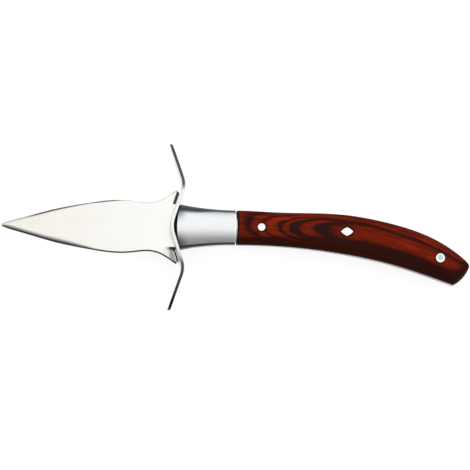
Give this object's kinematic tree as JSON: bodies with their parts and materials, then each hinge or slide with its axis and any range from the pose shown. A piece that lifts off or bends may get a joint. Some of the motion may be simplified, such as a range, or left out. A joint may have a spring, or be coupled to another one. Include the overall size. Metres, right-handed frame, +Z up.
{
  "type": "oyster_knife",
  "caption": "Fixed-blade oyster knife with a spear-shaped blade, a bent oval steel guard, a steel bolster and a curved red-brown laminated wood handle held by steel rivets",
  "frame": {"origin": "Middle of the bounding-box footprint, on the resting plane that the lower rim of the guard touches.", "axes": "+X runs along the blade and handle from the tip towards the butt, +Y towards the back of the handle, +Z up, square to the flat of the blade."},
  "size_m": [0.165, 0.0588, 0.022],
  "materials": {
    "blade_steel": "fine lengthwise grind, bright bevels",
    "guard_steel": "pressed sheet, satin with a bright rounded rim",
    "bolster_steel": "polished steel",
    "rivet_steel": "polished rivet heads",
    "handle_wood": "red-brown laminated wood, dark figure, satin varnish"
  },
  "bodies": {
    "root": {"blade": "blade_steel", "guard": "guard_steel", "bolster_half_left": "bolster_steel", "bolster_half_right": "bolster_steel", "bolster_dowels": "rivet_steel", "handle_scale_left": "handle_wood", "handle_scale_right": "handle_wood", "front_rivet": "rivet_steel", "middle_rivet": "rivet_steel", "rear_rivet": "rivet_steel"}
  },
  "joints": []
}
